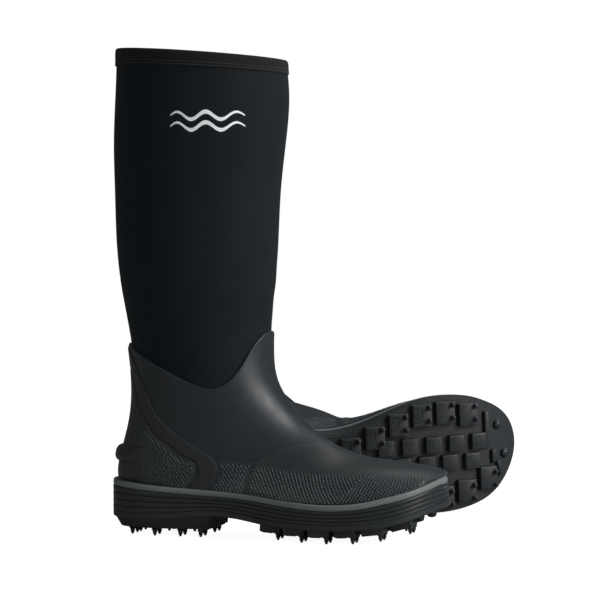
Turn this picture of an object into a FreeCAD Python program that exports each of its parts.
"""A pair of deck boots: rubber-footed neoprene boots with studded soles.

The right boot stands on its studs with its toe along +X. The left boot is its
mirror image and lies on its outer side behind it. Millimetres, +Z up; the
origin is the middle of the pair's footprint, on the ground.
"""
import FreeCAD, Part
import Sketcher
import math
import os
from FreeCAD import Placement, Rotation, Vector

doc = FreeCAD.newDocument("DeckBoots")

# ---------------------------------------------------------------- sizes
SIZES = [
    ("sole_length", 302.0, "outsole, heel to toe"),
    ("ball_width", 107.0, "outsole, across the ball of the foot"),
    ("boot_height", 424.0, "ground to the top of the collar at the back"),
    ("shaft_width", 117.0, "neoprene shaft, side to side at the calf"),
    ("neoprene_wall", 5.0, "neoprene of shaft and sock"),
    ("shell_wall", 2.5, "rubber galosh over the foot"),
    ("overlay_wall", 1.3, "rubber reinforcements over the galosh"),
    ("foxing_wall", 5.0, "ribbed rubber sidewall"),
    ("stripe_band", 5.0, "height of the light stripe on top of the sidewall"),
    ("stripe_recess", 0.3, "stripe behind the face of the sidewall"),
    ("outsole_base", 5.0, "outsole between the lugs and the midsole"),
    ("lug_depth", 5.5, "lugs below the outsole base"),
    ("lug_length", 18.5, "edge lug along the sole"),
    ("lug_width", 21.0, "edge lug across the sole"),
    ("lug_pitch", 23.0, "from one edge lug to the next"),
    ("lug_margin", 4.0, "edge lug from the edge of the sole"),
    ("block_size", 15.0, "middle lug, both ways"),
    ("heel_depth", 8.5, "heel block below the outsole base"),
    ("heel_length", 95.0, "heel block from the back of the sole"),
    ("heel_draft", 7.0, "heel block narrower at the bottom, each side"),
    ("stud_length", 5.7, "stud below its lug"),
    ("stud_seat", 3.0, "stud inside its lug"),
    ("stud_base", 2.1, "radius of a stud where it leaves the lug"),
    ("stud_tip", 1.1, "radius of a stud's flat tip"),
    ("stud_gap", 12.5, "between the two studs of one lug"),
    ("toe_stud_radius", 4.2, "round toe stud"),
    ("toe_stud_length", 4.0, "round toe stud below the sole"),
    ("binding_height", 14.0, "folded binding down the collar"),
    ("binding_wall", 1.2, "binding tape"),
    ("tape_width", 9.0, "seam tape up the back"),
    ("tape_wall", 0.8, "seam tape"),
    ("print_wall", 0.3, "printed mark on the shaft"),
    ("board_wall", 1.5, "insole board"),
    ("footbed_wall", 4.5, "removable footbed"),
    ("footbed_gap", 0.5, "clearance under the footbed"),
    ("footbed_side", 2.0, "clearance round the footbed, so that its heel lifts"),
    ("footbed_front", 24.0, "footbed stops short of the toe of the sole"),
    ("shank_length", 95.0, "steel shank"),
    ("shank_width", 15.0, "steel shank"),
    ("shank_wall", 1.6, "steel shank"),
    ("shank_start", 68.0, "shank from the back of the sole"),
    ("ledge_height", 14.0, "kick-off ledge on the heel"),
    ("ledge_bottom", 63.5, "underside of the ledge above the ground"),
    ("ledge_reach", 4.5, "ledge behind the heel"),
    ("ledge_round", 5.0, "rounding of the ledge"),
    ("lying_turn", 29.0, "left boot turned from the right one, degrees"),
    ("lying_pitch", 3.4, "left boot's toe raised, degrees"),
    ("lying_roll", 2.8, "left boot's collar raised, degrees"),
    ("lying_along", 55.0, "left heel from the right heel, along the sole"),
    ("lying_behind", 106.0, "left sole behind the middle of the right one"),
]
sheet = doc.addObject("Spreadsheet::Sheet", "Sizes")
for row, (alias, value, note) in enumerate(SIZES, start=1):
    sheet.set(f"A{row}", note)
    sheet.set(f"B{row}", str(value))
    sheet.setAlias(f"B{row}", alias)
doc.recompute()


class Sheet:
    """Reads a size from the spreadsheet by its alias."""

    def __getattr__(self, alias):
        return float(sheet.get(alias))


size = Sheet()

# The last: its stations are drawn for one pattern size and stretched from it.
PATTERN_LENGTH, PATTERN_HEIGHT, PATTERN_BALL, PATTERN_SHAFT = 302.0, 424.0, 107.0, 117.0
ANKLE_HEIGHT = 160.0            # below this the height of the boot doesn't stretch
stretch_x = size.sole_length / PATTERN_LENGTH
stretch_ball = size.ball_width / PATTERN_BALL
stretch_shaft = size.shaft_width / PATTERN_SHAFT
stretch_z = (size.boot_height - ANKLE_HEIGHT) / (PATTERN_HEIGHT - ANKLE_HEIGHT)
HALF_SPAN = 2 * size.ball_width  # half the width of every cutting solid
CIRCLE_POINTS = 28               # points round one section of the last
SEW_GAP = 0.001                  # widest gap closed between a skin and its lids


def height(z):
    """A pattern height, stretched above the ankle."""
    return z if z < ANKLE_HEIGHT else ANKLE_HEIGHT + (z - ANKLE_HEIGHT) * stretch_z


def natural_cubic(knots, values):
    """A function through the values, smooth to its second derivative."""
    count = len(knots)
    step = [b - a for a, b in zip(knots, knots[1:])]
    lower, middle, upper, right = [0.0] * count, [1.0] * count, [0.0] * count, [0.0] * count
    for i in range(1, count - 1):
        lower[i], middle[i], upper[i] = step[i - 1], 2 * (step[i - 1] + step[i]), step[i]
        slope_after = (values[i + 1] - values[i]) / step[i]
        slope_before = (values[i] - values[i - 1]) / step[i - 1]
        right[i] = 6 * (slope_after - slope_before)
    for i in range(1, count):
        share = lower[i] / middle[i - 1]
        middle[i] -= share * upper[i - 1]
        right[i] -= share * right[i - 1]
    bend = [0.0] * count
    bend[-1] = right[-1] / middle[-1]
    for i in range(count - 2, -1, -1):
        bend[i] = (right[i] - upper[i] * bend[i + 1]) / middle[i]

    def value(t):
        i = 0
        while i < count - 2 and t > knots[i + 1]:
            i += 1
        after, before, wide = t - knots[i], knots[i + 1] - t, step[i]
        curved = (bend[i] * before ** 3 + bend[i + 1] * after ** 3) / (6 * wide)
        left = (values[i] / wide - bend[i] * wide / 6) * before
        return curved + left + (values[i + 1] / wide - bend[i + 1] * wide / 6) * after

    return value


# ---------------------------------------------------------------- the last
# Outside of the neoprene. Each station is one closed section, from a point on
# the front of the boot (x, z) to one on its back or sole (x, z); half its
# width; how far down the section it is widest (0 to 1); how square its front
# and its back are (2 is an ellipse); and where its middle is across the boot
# (+Y is the inner side), at the front and at the back.
STATIONS = [
    (155.0, 411.0, 4.7, 423.0, 57.5, 0.50, 2.0, 2.0, 0.0, 0.0),
    (157.5, 378.0, 3.0, 382.0, 58.5, 0.50, 2.0, 2.0, 0.0, 0.0),
    (155.0, 340.0, 2.0, 341.0, 58.0, 0.50, 2.0, 2.0, 0.0, 0.0),
    (150.5, 299.0, 2.8, 299.5, 56.0, 0.50, 2.0, 2.0, 0.0, 0.0),
    (148.0, 257.0, 3.7, 257.5, 54.0, 0.50, 2.0, 2.0, 0.0, 0.0),
    (145.2, 215.0, 8.2, 216.0, 51.0, 0.50, 2.0, 2.0, 0.0, 0.0),
    (142.2, 184.0, 14.2, 184.0, 48.0, 0.49, 2.0, 2.0, 0.0, 0.0),
    (141.7, 160.0, 18.2, 158.0, 46.0, 0.48, 2.0, 2.0, 0.0, 0.0),
    (143.4, 141.0, 20.5, 130.0, 45.0, 0.47, 2.0, 2.0, 0.0, 0.0),
    (149.5, 125.0, 18.2, 100.0, 43.5, 0.47, 2.0, 2.0, 1.0, 0.0),
    (158.0, 112.5, 11.2, 74.0, 41.0, 0.47, 2.0, 2.0, 2.0, 0.0),
    (169.0, 99.5, 9.0, 47.0, 36.5, 0.48, 2.0, 2.2, 2.0, -1.0),
    (183.5, 88.0, 34.5, 31.5, 32.8, 0.52, 2.0, 2.5, 2.5, -2.0),
    (196.0, 79.5, 73.0, 31.0, 31.0, 0.57, 2.0, 2.7, 2.5, -4.0),
    (208.0, 73.5, 113.5, 30.0, 33.8, 0.62, 2.0, 2.9, 2.5, -4.5),
    (220.0, 69.5, 154.0, 26.5, 40.3, 0.68, 2.0, 3.0, 3.0, -3.5),
    (234.0, 66.7, 195.0, 23.5, 46.0, 0.72, 2.1, 3.0, 2.5, -2.0),
    (249.0, 64.6, 227.0, 23.5, 46.6, 0.74, 2.2, 3.0, 2.5, -1.0),
    (264.5, 62.3, 253.5, 26.5, 42.5, 0.73, 2.3, 3.0, 3.0, 0.5),
    (277.5, 59.3, 272.5, 31.0, 35.0, 0.70, 2.4, 3.0, 3.5, 2.0),
    (287.0, 55.6, 285.0, 35.5, 26.0, 0.66, 2.4, 3.0, 4.0, 3.0),
    (292.5, 51.5, 291.8, 39.5, 15.0, 0.60, 2.2, 2.6, 4.0, 4.0),
]
SHAFT_STATIONS = 9               # the first stations, which follow the shaft's width


def sized(number, station):
    """A station stretched from the pattern size to this boot's sizes."""
    fx, fz, bx, bz, half = station[:5]
    wide = stretch_shaft if number < SHAFT_STATIONS else stretch_ball
    if number < SHAFT_STATIONS:
        ends = (fx * stretch_x, height(fz), bx * stretch_x, height(bz))
    else:
        ends = (fx * stretch_x, fz, bx * stretch_x, bz)
    return ends + (half * wide,) + station[5:]


stations = [sized(number, station) for number, station in enumerate(STATIONS)]
run = [0.0]                      # distance down the boot, from collar to toe
for one, two in zip(stations, stations[1:]):
    across = ((two[0] - one[0]) + (two[2] - one[2])) / 2
    down = ((two[1] - one[1]) + (two[3] - one[3])) / 2
    run.append(run[-1] + math.hypot(across, down))
columns = [natural_cubic(run, [station[k] for station in stations]) for k in range(10)]
TOE_FADE = 30.0                  # the toe end moves out with a layer over this run


def section_point(place, grow, angle):
    """A point of the last at a place along the run, a layer of grow further out."""
    fx, fz, bx, bz, half, widest, front, back, front_y, back_y = (c(place) for c in columns)
    long = math.hypot(fx - bx, fz - bz)
    ux, uz = (fx - bx) / long, (fz - bz) / long
    fade = max(0.0, 1 - (run[-1] - place) / TOE_FADE)
    ahead = grow * fade
    fx, fz = fx + ux * grow + uz * ahead, fz + uz * grow - ux * ahead
    long, half = long + 2 * grow, half + grow
    cosine, sine = math.cos(angle), math.sin(angle)
    power = 2 / (front if cosine >= 0 else back)
    along = abs(cosine) ** power
    if cosine >= 0:
        depth = widest * long * (1 - along)
    else:
        depth = long * (widest + (1 - widest) * along)
    middle = front_y + (back_y - front_y) * depth / long
    y = middle + math.copysign(half * abs(sine) ** power, sine)
    return Vector(fx - ux * depth, y, fz - uz * depth)


def skinned(rings, spacing=None):
    """A closed solid through rings of points, with a flat lid on each end."""
    count = len(rings[0])
    turns = [i / count for i in range(count + 1)]
    ring_curves = []
    for ring in rings:
        curve = Part.BSplineCurve()
        curve.interpolate(ring, PeriodicFlag=True, Parameters=turns)
        ring_curves.append(curve)
    if spacing is None:
        spacing = [float(i) for i in range(len(rings))]
    rows = []
    for poles in zip(*(curve.getPoles() for curve in ring_curves)):
        along = Part.BSplineCurve()
        along.interpolate(list(poles), Parameters=spacing)
        rows.append(along)
    around, lengthwise = ring_curves[0], rows[0]
    surface = Part.BSplineSurface()
    surface.buildFromPolesMultsKnots(
        [row.getPoles() for row in rows], around.getMultiplicities(),
        lengthwise.getMultiplicities(), around.getKnots(), lengthwise.getKnots(),
        True, False, around.Degree, lengthwise.Degree)
    side = surface.toShape()
    rims = [edge for edge in side.Edges if len(edge.Vertexes) == 1]
    lids = [Part.Face(Part.Wire([rim])) for rim in rims]
    skin = Part.makeCompound([side] + lids)
    skin.sewShape(SEW_GAP)
    return Part.Solid(skin.Shells[0])


def section_ring(place, grow):
    """Points round one section of a layer of the last."""
    turn = 2 * math.pi / CIRCLE_POINTS
    return [section_point(place, grow, turn * i) for i in range(CIRCLE_POINTS)]


def layer(grow, start=0.0, over=0.0):
    """The last as a solid, grown by one thickness, from a place to the toe.

    over lifts the first section past the start, for a tool that cuts a mouth."""
    places = [start] + [p for p in run if p > start + 4.0]
    places = sorted(places + [(a + b) / 2 for a, b in zip(places, places[1:])])
    rings = [section_ring(place, grow) for place in places]
    if over:
        rings.insert(0, [point + Vector(0, 0, over) for point in rings[0]])
        places.insert(0, places[0] - over)
    return skinned(rings, places)


# ---------------------------------------------------------------- the sole
# Outline of the sole, anticlockwise from the middle of the heel: the outer side
# (-Y) to the toe and the inner side back. TOP is at the stripe and UNDER is at
# the ground, where the waist of the sole is drawn in.
OUTLINE = [
    (0.0, -1.0, 0.0), (7.0, -20.5, 0.0), (30.0, -34.5, 0.0), (76.0, -37.5, 2.0),
    (120.0, -40.0, 7.0), (162.0, -47.5, 4.0), (203.0, -55.0, 0.0), (241.0, -54.0, 0.0),
    (274.0, -42.0, 0.0), (294.0, -21.0, 0.0), (302.0, 3.0, 0.0), (295.0, 27.0, 0.0),
    (274.0, 43.5, 0.0), (243.0, 52.0, 0.0), (211.0, 52.0, 0.0), (170.0, 43.0, 6.0),
    (124.0, 32.5, 11.0), (81.0, 33.0, 4.0), (35.0, 34.5, 0.0), (7.0, 21.5, 0.0),
]
UNDER_LEVEL, TOP_LEVEL = 0.0, 62.0
OUTLINE_POINTS = 48              # points round the sole
# Heights of the sole's lines over its length: top of the stripe, and underside
# of the base between the lugs.
STRIPE_LINE = [(0.0, 47.8), (43.0, 44.3), (91.0, 41.3), (136.0, 38.2), (166.0, 34.8),
               (202.0, 32.9), (232.0, 34.9), (256.0, 39.9), (279.0, 46.3), (302.0, 57.8)]
UNDER_LINE = [(0.0, 15.0), (60.0, 15.6), (100.0, 18.5), (125.0, 16.5), (151.0, 12.6),
              (175.0, 11.2), (215.0, 11.2), (245.0, 13.4), (270.0, 18.5), (302.0, 31.0)]
SOLE_OVERHANG = 30.0             # the cutting curves run this far past the sole
stripe_top = natural_cubic([x * stretch_x for x, z in STRIPE_LINE], [z for x, z in STRIPE_LINE])
base_under = natural_cubic([x * stretch_x for x, z in UNDER_LINE], [z for x, z in UNDER_LINE])

def outline_ring(inset, drawn_in, level):
    """Points round the sole's outline at a level, set in by a distance."""
    points = []
    for x, y, waist in OUTLINE:
        sign = 1 if y > 0 else -1
        points.append(Vector(x * stretch_x, y * stretch_ball - sign * waist * drawn_in, level))
    curve = Part.BSplineCurve()
    curve.interpolate(points, PeriodicFlag=True)
    first, last = curve.FirstParameter, curve.LastParameter
    ring = []
    for i in range(OUTLINE_POINTS):
        at = first + (last - first) * i / OUTLINE_POINTS
        along = curve.tangent(at)[0]
        ring.append(curve.value(at) + Vector(-along.y, along.x, 0) * inset)
    return ring


def sole_block(inset):
    """Everything inside the sole's outline, from the ground to above the stripe."""
    return skinned([outline_ring(inset, 1.0, UNDER_LEVEL), outline_ring(inset, 0.0, TOP_LEVEL)])


def across(wire):
    """A side-view wire as a solid right across the boot."""
    face = Part.Face(wire)
    face.translate(Vector(0, -HALF_SPAN, 0))
    return face.extrude(Vector(0, 2 * HALF_SPAN, 0))


def side_curve(points):
    curve = Part.BSplineCurve()
    curve.interpolate([Vector(x, 0, z) for x, z in points])
    return curve.toShape()


def closed_side(points_over, points_under):
    """The region of the side view between two curves, as a solid."""
    over, under = side_curve(points_over), side_curve(points_under)
    corners = [points_over[0], points_under[0], points_over[-1], points_under[-1]]
    ends = [Vector(x, 0, z) for x, z in corners]
    back = Part.makeLine(ends[1], ends[0])
    front = Part.makeLine(ends[2], ends[3])
    return across(Part.Wire([back, over, front, under]))


def sole_line(rule, raised, count=14):
    """Points of one of the sole's lines, raised, run on past both ends."""
    points = [(-SOLE_OVERHANG, rule(0.0) + raised)]
    for i in range(count):
        x = size.sole_length * i / (count - 1)
        points.append((x, rule(x) + raised))
    steep = (rule(size.sole_length) - rule(size.sole_length - 1)) * SOLE_OVERHANG
    points.append((size.sole_length + SOLE_OVERHANG, rule(size.sole_length) + raised + steep))
    return points


def between_lines(rule_over, raised_over, rule_under, raised_under):
    return closed_side(sole_line(rule_over, raised_over), sole_line(rule_under, raised_under))


def largest(shape):
    """The main solid of a shape, without slivers."""
    return max(shape.Solids, key=lambda solid: solid.Volume)


def edge_y(x, side):
    """Edge of the sole at a place along it: side is -1 outer, +1 inner."""
    half = [(px * stretch_x, py * stretch_ball - side * waist)
            for px, py, waist in OUTLINE if py * side > 0]
    half.sort()
    for (x0, y0), (x1, y1) in zip(half, half[1:]):
        if x0 <= x <= x1:
            return y0 + (y1 - y0) * (x - x0) / (x1 - x0)
    return half[-1][1] if x > half[-1][0] else half[0][1]


# ---------------------------------------------------------------- sub-parts
right_pieces = []                # the right boot's pieces, in its own frame


def keep(thing, label):
    """Names a finished sub-part of the right boot."""
    thing.Label = label
    right_pieces.append(thing)
    return thing


def add_shaped(label, shape):
    """A finished sub-part whose shape is drawn from the last."""
    feature = doc.addObject("Part::Feature", label)
    feature.Shape = shape
    return keep(feature, label)


def bind(thing, **expressions):
    """Ties properties of an object to the sheet."""
    for name, expression in expressions.items():
        thing.setExpression(name, expression)


# Layers of the last, one inside the other.
CAVITY_MOUTH = 12.0
shell_grow = size.shell_wall
overlay_grow = size.shell_wall + size.overlay_wall
cavity = layer(-size.neoprene_wall, over=CAVITY_MOUTH)
neoprene_body = layer(0.0)
galosh_start = run[5]
galosh_body = layer(shell_grow, start=galosh_start)
overlay_body = layer(overlay_grow, start=galosh_start)
neoprene = neoprene_body.cut(cavity)

# Neoprene shaft and sock, joined by a flat seam under the galosh.
SEAM_BACK, SEAM_FRONT = (-40.0, 118.0), (240.0, 132.0)
collar_back = stations[0][2:4]
collar_front = stations[0][0:2]
collar_slope = (collar_front[1] - collar_back[1]) / (collar_front[0] - collar_back[0])


def collar_level(x, under):
    return collar_back[1] + (x - collar_back[0]) * collar_slope - under


def side_polygon(points):
    corners = [Vector(x, 0, z) for x, z in points]
    return across(Part.makePolygon(corners + corners[:1]))


REACH = size.sole_length + 2 * SOLE_OVERHANG
shaft_top = [(-60.0, collar_level(-60.0, size.binding_wall)),
             (REACH, collar_level(REACH, size.binding_wall))]
above_seam = side_polygon([SEAM_BACK, SEAM_FRONT, shaft_top[1], shaft_top[0]])
below_seam = side_polygon([SEAM_BACK, SEAM_FRONT, (REACH, SEAM_FRONT[1]), (REACH, -50.0),
                           (-40.0, -50.0)])
shaft_shape = largest(neoprene.common(above_seam))
add_shaped("neoprene_shaft", shaft_shape)
add_shaped("neoprene_sock", largest(neoprene.common(below_seam)))

# Folded binding round the collar: over the edge of the shaft and down both faces.
binding_under = [(-60.0, collar_level(-60.0, size.binding_height)),
                 (REACH, collar_level(REACH, size.binding_height))]
binding_over = [(REACH, collar_level(REACH, 0)), (-60.0, collar_level(-60.0, 0))]
binding_zone = side_polygon(binding_under + binding_over)
binding_outer = layer(size.binding_wall, over=CAVITY_MOUTH)
binding_inner = layer(-size.neoprene_wall - size.binding_wall, over=CAVITY_MOUTH)
binding_ring = binding_outer.cut(binding_inner).common(binding_zone)
add_shaped("collar_binding", largest(binding_ring.cut(shaft_shape)))

GALOSH_PEAK, TAPE_GAP = 170.0, 4.0  # back of the galosh, and the tape above it
# Rubber galosh: low at the sides of the ankle, with a peak behind and a tongue in front.
GALOSH_EDGE = [(10.0, 169.0), (55.0, 147.5), (76.0, 137.5), (90.0, 131.3), (106.0, 129.4),
               (118.0, 137.5), (126.0, 150.0), (132.0, 163.0), (138.0, 173.0), (146.0, 181.0)]
edge_over = [(x * stretch_x, z) for x, z in GALOSH_EDGE]
edge_over = [(-40.0, edge_over[0][1] + 6.0)] + edge_over + [(200.0 * stretch_x, 186.0)]
edge_under = [(-40.0, -60.0), (200.0 * stretch_x, -60.0)]
ahead_of_edge = side_polygon([(200.0 * stretch_x, -60.0), (REACH, -60.0), (REACH, 186.0),
                              (200.0 * stretch_x, 186.0)])
galosh_zone = closed_side(edge_over, edge_under).fuse(ahead_of_edge)
galosh_ring = galosh_body.cut(neoprene_body)
add_shaped("rubber_galosh", largest(galosh_ring.common(galosh_zone)))

# Seam tape up the back of the shaft, from the galosh to the binding.
tape_body = layer(size.tape_wall).cut(neoprene_body)
tape_zone = Part.makeBox(3 * SOLE_OVERHANG, size.tape_width, size.boot_height,
                         Vector(-SOLE_OVERHANG, -size.tape_width / 2, 0))
tape_low = GALOSH_PEAK + TAPE_GAP
tape_band = side_polygon([(-60.0, tape_low), (REACH, tape_low), (REACH, binding_under[1][1]),
                          (-60.0, binding_under[0][1])])
add_shaped("back_seam_tape", largest(tape_body.common(tape_zone).common(tape_band)))

# A small printed wave on the outer face of the shaft.
WAVE_START, WAVE_LENGTH, WAVE_RISE, WAVE_LINE = 71.0, 62.0, 3.2, 3.6
WAVE_LEVELS = (352.0, 361.0)
WAVE_COUNT = 2.5


def wave_zone(level):
    """One wavy ribbon, as a cutter on the outer side of the boot."""
    tops, unders = [], []
    for i in range(21):
        share = i / 20
        x = (WAVE_START + WAVE_LENGTH * share) * stretch_x
        z = height(level) + WAVE_RISE * math.sin(2 * math.pi * WAVE_COUNT * share)
        thick = WAVE_LINE * (0.35 + 0.65 * math.sin(math.pi * share))
        tops.append((x, z + thick / 2))
        unders.append((x, z - thick / 2))
    return closed_side(tops, unders)


print_skin = layer(size.print_wall).cut(neoprene_body)
outer_side = Part.makeBox(2 * REACH, HALF_SPAN, size.boot_height, Vector(-REACH, -HALF_SPAN, 0))
print_skin = print_skin.common(outer_side)
wave_shapes = [print_skin.common(wave_zone(level)) for level in WAVE_LEVELS]
add_shaped("shaft_print", Part.makeCompound([s for w in wave_shapes for s in w.Solids]))

# Reinforcements over the galosh, which stop at the top of the stripe.
above_stripe_points = [(-SOLE_OVERHANG, 300.0), (size.sole_length + SOLE_OVERHANG, 300.0)]
above_stripe = closed_side(above_stripe_points, sole_line(stripe_top, 0.0))
overlay_skin = overlay_body.cut(galosh_body).common(above_stripe)
STRAP_OUTER = [(-6.0, 172.0), (21.0, 160.0), (32.0, 142.0), (43.0, 122.0), (53.0, 106.0),
               (66.0, 94.0), (81.0, 83.0), (95.0, 74.0), (104.0, 66.0), (106.0, 59.0),
               (97.0, 42.0), (88.0, 25.0)]
STRAP_INNER = [(-6.0, 156.0), (20.0, 144.0), (29.0, 125.0), (36.0, 108.0), (48.0, 90.5),
               (57.0, 83.5), (67.0, 77.5), (75.0, 71.0), (86.0, 65.0), (88.0, 59.0),
               (79.0, 42.0), (70.0, 25.0)]


def side_points(points):
    return [(x * stretch_x, z) for x, z in points]


strap_outer, strap_inner = side_points(STRAP_OUTER), side_points(STRAP_INNER)
strap_zone = closed_side(strap_outer, strap_inner)
add_shaped("heel_strap", largest(overlay_skin.common(strap_zone)))
heel_zone = closed_side(strap_inner, [(-60.0, strap_inner[0][1]), (-60.0, strap_inner[-1][1])])
add_shaped("heel_rand", largest(overlay_skin.common(heel_zone)))
TOE_RAND_EDGE = [(131.0, 25.0), (132.0, 42.0), (135.0, 57.0), (142.0, 69.0), (153.0, 77.5),
                 (169.0, 80.5), (190.0, 82.0), (212.0, 86.0), (235.0, 90.0)]
rand_edge = side_points(TOE_RAND_EDGE)
rand_far = [(REACH, 25.0), (REACH, 90.0)]
rand_zone = closed_side(rand_edge, rand_far)
add_shaped("toe_rand", largest(overlay_skin.common(rand_zone)))

# Sidewall: the light stripe on top and the ribbed band below it, round the galosh.
outer_block = sole_block(0.0)
core_block = sole_block(size.foxing_wall)
stripe_zone = between_lines(stripe_top, 0.0, stripe_top, -size.stripe_band)
stripe_outer = sole_block(size.stripe_recess)
stripe_ring = stripe_outer.common(stripe_zone).cut(galosh_body)
add_shaped("foxing_stripe", largest(stripe_ring))
band_zone = between_lines(stripe_top, -size.stripe_band, base_under, size.outsole_base)
band_ring = outer_block.cut(core_block).common(band_zone).cut(galosh_body)
add_shaped("foxing_band", largest(band_ring))

# Midsole, with a pocket for the steel shank.
shank = doc.addObject("PartDesign::Body", "shank")
plane = next(f for f in shank.Origin.OriginFeatures if f.Role == "XY_Plane")
strip = shank.newObject("Sketcher::SketchObject", "shank_strip")
strip.AttachmentSupport = [(plane, "")]
strip.MapMode = "FlatFace"
half_strip = size.shank_width / 2
ends_x = (half_strip, size.shank_length - half_strip)
strip.addGeometry([
    Part.LineSegment(Vector(ends_x[0], -half_strip, 0), Vector(ends_x[1], -half_strip, 0)),
    Part.ArcOfCircle(Part.Circle(Vector(ends_x[1], 0, 0), Vector(0, 0, 1), half_strip),
                     -math.pi / 2, math.pi / 2),
    Part.LineSegment(Vector(ends_x[1], half_strip, 0), Vector(ends_x[0], half_strip, 0)),
    Part.ArcOfCircle(Part.Circle(Vector(ends_x[0], 0, 0), Vector(0, 0, 1), half_strip),
                     math.pi / 2, 3 * math.pi / 2),
], False)
for first_edge, first_end, second_edge, second_end in ((0, 2, 1, 1), (1, 2, 2, 1), (2, 2, 3, 1),
                                                       (3, 2, 0, 1)):
    strip.addConstraint(Sketcher.Constraint("Tangent", first_edge, first_end, second_edge,
                                            second_end))
strip.addConstraint(Sketcher.Constraint("Horizontal", 0))
strip.addConstraint(Sketcher.Constraint("PointOnObject", 3, 3, -1))
width_rule = strip.addConstraint(Sketcher.Constraint("Radius", 1, half_strip))
length_rule = strip.addConstraint(
    Sketcher.Constraint("DistanceX", 3, 3, 1, 3, size.shank_length - size.shank_width))
start_rule = strip.addConstraint(Sketcher.Constraint("DistanceX", -1, 1, 3, 3, half_strip))
strip.setExpression(f"Constraints[{width_rule}]", "Sizes.shank_width / 2")
strip.setExpression(f"Constraints[{length_rule}]", "Sizes.shank_length - Sizes.shank_width")
strip.setExpression(f"Constraints[{start_rule}]", "Sizes.shank_width / 2")
pad = shank.newObject("PartDesign::Pad", "shank_pad")
pad.Profile = strip
bind(pad, Length="Sizes.shank_wall")
shank_end = size.shank_start + size.shank_length
SHANK_COVER = 0.7                # midsole left under the shank
shank_drop = base_under(shank_end) - base_under(size.shank_start)
shank_tilt = math.degrees(math.atan2(shank_drop, size.shank_length))
shank_level = base_under(size.shank_start) + size.outsole_base + SHANK_COVER
shank_bow = max(base_under(x) - base_under(size.shank_start)
                - shank_drop * (x - size.shank_start) / size.shank_length
                for x in (size.shank_start + size.shank_length * i / 8 for i in range(9)))
shank.Placement = Placement(Vector(size.shank_start, -3.0, shank_level + shank_bow),
                            Rotation(Vector(0, 1, 0), -shank_tilt))
doc.recompute()
keep(shank, "shank")
midsole_zone = between_lines(stripe_top, -size.stripe_band, base_under, size.outsole_base)
midsole_core = core_block.common(midsole_zone).cut(galosh_body)
add_shaped("midsole", largest(midsole_core.cut(shank.Shape)))

# Insole board and removable footbed, one on the other inside the sock.
last_under = natural_cubic([s[2] for s in stations[11:]], [s[3] for s in stations[11:]])
board_top = size.neoprene_wall + size.board_wall
footbed_top = board_top + size.footbed_gap + size.footbed_wall
BED_BACK = 9.0 * stretch_x


def bed_line(raised, front):
    """The inside of the sock's floor, raised, from behind the heel to a front."""
    points = []
    for i in range(12):
        x = BED_BACK + 26.0 + (front - BED_BACK - 26.0) * i / 11
        points.append((x, last_under(x) + raised))
    return [(-SOLE_OVERHANG, points[0][1])] + points


board_front = size.sole_length - size.footbed_front + 4.0
board_zone = closed_side(bed_line(board_top, board_front), bed_line(-20.0, board_front))
add_shaped("insole_board", largest(cavity.common(board_zone)))
bed_front = size.sole_length - size.footbed_front
bed_zone = closed_side(bed_line(footbed_top, bed_front),
                       bed_line(board_top + size.footbed_gap, bed_front))
bed_body = layer(-size.neoprene_wall - size.footbed_side, start=run[6])
add_shaped("footbed", largest(bed_body.common(bed_zone)))

# Outsole: base, heel block, edge lugs, middle lugs and toe bars in one moulding.
base_zone = between_lines(base_under, size.outsole_base, base_under, 0.0)
base = doc.addObject("Part::Feature", "outsole_base_plate")
base.Shape = largest(outer_block.common(base_zone))
HEEL_SINK = 3.0                  # heel block runs this far into the base
heel_top = base_under(size.heel_length / 2) + HEEL_SINK
heel_low = base_under(0.0) - size.heel_depth
HEEL_STEP = 0.8                  # heel block set in where it meets the base
HEEL_WAIST = 0.6                 # share of the waist's draw-in that the heel block takes
heel_loft = skinned([outline_ring(size.heel_draft, HEEL_WAIST, heel_low),
                     outline_ring(HEEL_STEP, HEEL_WAIST, heel_top)])
heel_cut = Part.makeBox(size.heel_length + 60.0, 2 * HALF_SPAN, 40.0,
                        Vector(-60.0, -HALF_SPAN, heel_low - 1.0))
heel = doc.addObject("Part::Feature", "outsole_heel")
heel.Shape = largest(heel_loft.common(heel_cut))
tread = [base, heel]
LUG_SINK = 2.0                   # lugs run this far into the base


def lug(name, x, y, long, wide, turn=0.0):
    """A lug on the tread, with its middle at x and y."""
    box = doc.addObject("Part::Box", name)
    under = base_under(min(x, size.sole_length)) - size.lug_depth
    bind(box, Length=long, Width=wide, Height=f"Sizes.lug_depth + {LUG_SINK}")
    doc.recompute()
    corner = Vector(-box.Length.Value / 2, -box.Width.Value / 2, 0)
    spin = Rotation(Vector(0, 0, 1), turn)
    tilt = Rotation(Vector(0, 1, 0), -math.degrees(math.atan(lug_slope(x))))
    where = tilt.multiply(spin)
    box.Placement = Placement(Vector(x, y, under) + where.multVec(corner), where)
    tread.append(box)
    return box


def lug_slope(x):
    """How steeply the tread rises at a place along the sole."""
    return (base_under(x + 1.0) - base_under(x - 1.0)) / 2


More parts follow.
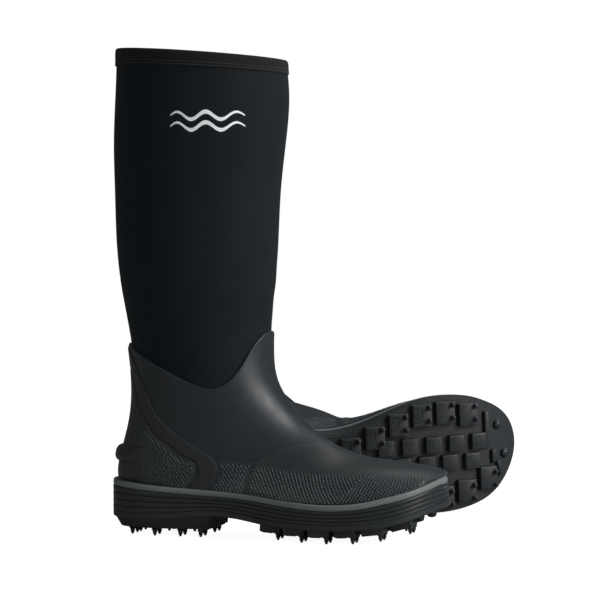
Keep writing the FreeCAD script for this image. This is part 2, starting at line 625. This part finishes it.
OUTER_FIRST, INNER_FIRST = 160.0, 141.0
STUD_AHEAD = 0.36                # studs ahead of their lug's middle, as a share of its length
STUD_EDGE = 3.0                  # outer stud in from the end of its lug
EDGE_LUGS = 6
edge_studs = []
for side, name, first in ((-1, "outer", OUTER_FIRST), (1, "inner", INNER_FIRST)):
    for i in range(EDGE_LUGS):
        stud_x = first * stretch_x + size.lug_pitch * i
        lug_x = stud_x - size.lug_length * STUD_AHEAD
        edge = edge_y(stud_x, side) - side * size.lug_margin
        lug_y = edge - side * size.lug_width / 2
        lug(f"lug_{name}_{i}", lug_x, lug_y, "Sizes.lug_length", "Sizes.lug_width")
        edge_studs.append((stud_x, edge - side * STUD_EDGE, -side))
MIDDLE_ROWS, MIDDLE_FIRST = 5, 160.0
BLOCK_LINES, BLOCK_STAGGER = (-9.0, 9.0), 0.32
for i in range(MIDDLE_ROWS):
    block_x = MIDDLE_FIRST * stretch_x + size.lug_pitch * i
    for j, block_y in enumerate(BLOCK_LINES):
        shift = size.lug_pitch * BLOCK_STAGGER * j
        lug(f"block_{i}_{j}", block_x + shift, block_y * stretch_ball, "Sizes.block_size",
            "Sizes.block_size")
# Toe bars: place along and across, size both ways, turn in degrees.
TOE_BARS = [(269.0, 19.0, 5.0, 34.0, 0.0), (275.5, -7.0, 4.5, 12.0, 0.0),
            (281.5, -19.0, 4.0, 14.0, 12.0)]
for i, (bar_x, bar_y, bar_long, bar_wide, turn) in enumerate(TOE_BARS):
    lug(f"toe_bar_{i}", bar_x * stretch_x, bar_y * stretch_ball, f"{bar_long}", f"{bar_wide}",
        turn)
doc.recompute()
moulding = doc.addObject("Part::MultiFuse", "outsole_moulding")
moulding.Shapes = tread
moulding.Refine = False


def stud(name, x, y, seat_level):
    """A steel stud, its flat tip down, its head sunk in the lug."""
    cone = doc.addObject("Part::Cone", name)
    bind(cone, Radius1="Sizes.stud_tip", Radius2="Sizes.stud_base",
         Height="Sizes.stud_length + Sizes.stud_seat")
    cone.Placement = Placement(Vector(x, y, seat_level - size.stud_length), Rotation())
    return cone


# Every stud tip of the heel and of the ball stands on the ground.
def lug_level(x):
    return base_under(x) - size.lug_depth


ground = min(lug_level(x) for x, y, inward in edge_studs) - size.stud_length
forefoot_studs = []
for number, (x, y, inward) in enumerate(edge_studs):
    for pair in range(2):
        stud_y = y + inward * size.stud_gap * pair
        level = max(lug_level(x), ground + size.stud_length)
        forefoot_studs.append(stud(f"stud_{number}_{pair}", x, stud_y, level))
HEEL_COLUMNS = [(22.0, 17.0), (45.5, 25.5), (69.0, 26.0), (87.5, 26.0)]
heel_studs = []
for number, (x, y) in enumerate(HEEL_COLUMNS):
    for side in (-1, 1):
        for pair in range(2):
            stud_y = side * (y * stretch_ball - size.stud_gap * pair)
            heel_studs.append(stud(f"heel_stud_{number}_{side}_{pair}", x * stretch_x, stud_y,
                                   ground + size.stud_length))
TOE_STUDS = [(280.0, 22.0), (287.0, -6.0)]
STUD_DOME = 0.45                 # rounding of a toe stud, as a share of its radius
toe_studs = []
for number, (x, y) in enumerate(TOE_STUDS):
    pin = doc.addObject("Part::Cylinder", f"toe_pin_{number}")
    bind(pin, Radius="Sizes.toe_stud_radius",
         Height="Sizes.toe_stud_length + Sizes.stud_seat")
    top = base_under(x * stretch_x) + size.stud_seat
    doc.recompute()
    pin.Placement = Placement(Vector(x * stretch_x, y * stretch_ball, top - pin.Height.Value),
                              Rotation())
    dome = doc.addObject("Part::Fillet", f"toe_stud_{number}")
    dome.Base = pin
    rounding = size.toe_stud_radius * STUD_DOME
    low_edge = next(i for i, e in enumerate(pin.Shape.Edges, start=1)
                    if e.Closed and e.CenterOfMass.z < top - size.stud_seat)
    dome.Edges = [(low_edge, rounding, rounding)]
    toe_studs.append(dome)
doc.recompute()
for label, group in (("forefoot_studs", forefoot_studs), ("heel_studs", heel_studs),
                     ("toe_studs", toe_studs)):
    compound = doc.addObject("Part::Compound", label)
    compound.Links = group
    keep(compound, label)
doc.recompute()

stud_seats = doc.addObject("Part::Compound", "stud_seats")
stud_seats.Links = forefoot_studs + heel_studs + toe_studs
outsole = doc.addObject("Part::Cut", "outsole")
outsole.Base, outsole.Tool = moulding, stud_seats
outsole.Refine = False
keep(outsole, "outsole")

# Kick-off ledge: a rounded crescent behind the heel, for pulling the boot off.
LEDGE_MIDDLE, LEDGE_RADIUS = 41.0, 38.5
ledge_disc = doc.addObject("Part::Cylinder", "ledge_disc")
bind(ledge_disc, Height="Sizes.ledge_height")
ledge_disc.Radius = LEDGE_RADIUS * stretch_ball
ledge_back = min(section_point(place, overlay_grow, math.pi).x for place in run[10:12])
ledge_middle = ledge_back - size.ledge_reach + ledge_disc.Radius.Value
ledge_disc.Placement = Placement(Vector(ledge_middle, 0, size.ledge_bottom), Rotation())
doc.recompute()
ledge_rim = doc.addObject("Part::Fillet", "ledge_rim")
ledge_rim.Base = ledge_disc
ledge_rim.Edges = [(i, size.ledge_round, size.ledge_round)
                   for i, e in enumerate(ledge_disc.Shape.Edges, start=1) if e.Closed]
ledge_inside = doc.addObject("Part::Feature", "ledge_inside")
ledge_front = side_polygon([(ledge_middle, 0.0), (REACH, 0.0), (REACH, 200.0),
                            (ledge_middle, 200.0)])
ledge_inside.Shape = overlay_body.fuse(ledge_front)
ledge = doc.addObject("Part::Cut", "kick_ledge")
ledge.Base, ledge.Tool = ledge_rim, ledge_inside
ledge.Refine = False
keep(ledge, "kick_ledge")
doc.recompute()

# ---------------------------------------------------------------- the pair
# The left boot: a mirror image, turned onto its outer side and laid on the
# ground behind the standing one.
on_side = Rotation(Vector(1, 0, 0), -90)
pitch = Rotation(Vector(0, 1, 0), -size.lying_pitch)
roll = Rotation(Vector(1, 0, 0), size.lying_roll)
turn = Rotation(Vector(0, 0, 1), size.lying_turn)
lying = turn.multiply(roll).multiply(pitch).multiply(on_side)
mirrored = {}
for piece in right_pieces:
    mirror = doc.addObject("Part::Feature", "left_" + piece.Label)
    mirror.Shape = piece.Shape.mirror(Vector(), Vector(0, 1, 0))
    mirrored[piece.Label] = mirror


def tight_box(shape, spot):
    """The exact box of a shape put in a place."""
    return shape.transformed(spot.toMatrix(), True).optimalBoundingBox(False, False)


lying_spot = Placement(Vector(size.lying_along, size.lying_behind, 0), lying)
lowest = min(tight_box(mirror.Shape, lying_spot).ZMin for mirror in mirrored.values())
lying_spot.Base = lying_spot.Base - Vector(0, 0, lowest)
standing_spot = Placement(Vector(0, 0, -ground), Rotation())
bounds = FreeCAD.BoundBox()
for piece in right_pieces:
    bounds.add(tight_box(piece.Shape, standing_spot))
for mirror in mirrored.values():
    bounds.add(tight_box(mirror.Shape, lying_spot))
middle = Vector(bounds.Center.x, bounds.Center.y, 0)
standing_spot.Base = standing_spot.Base - middle
lying_spot.Base = lying_spot.Base - middle
nodes = {}
for piece in right_pieces:
    piece.Placement = standing_spot.multiply(piece.Placement)
    nodes["right_" + piece.Label] = piece
for label, mirror in mirrored.items():
    mirror.Placement = lying_spot.multiply(mirror.Placement)
    nodes["left_" + label] = mirror
doc.recompute()

# ---------------------------------------------------------------- checks and files
for thing in doc.Objects:
    if "Invalid" in thing.State or "Error" in thing.State:
        raise SystemExit(f"{thing.Name} failed: {thing.State}")
for name, thing in nodes.items():
    thing.Label = name
    if thing.Shape.isNull() or not thing.Shape.isValid():
        raise SystemExit(f"{name} has no valid shape")
os.makedirs("parts", exist_ok=True)
for name, thing in nodes.items():
    thing.Shape.exportStep(f"parts/{name}.step")
hinge = Vector(bed_front, 0, last_under(bed_front) + board_top + size.footbed_gap)
for name, spot in (("standing", standing_spot), ("lying", lying_spot)):
    turned = spot.Rotation.multVec(Vector(0, 1, 0))
    print(name, list(spot.Base), list(spot.Rotation.Q), "footbed hinge",
          list(spot.multVec(hinge)), list(turned))
print(len(nodes), "nodes, box", bounds)
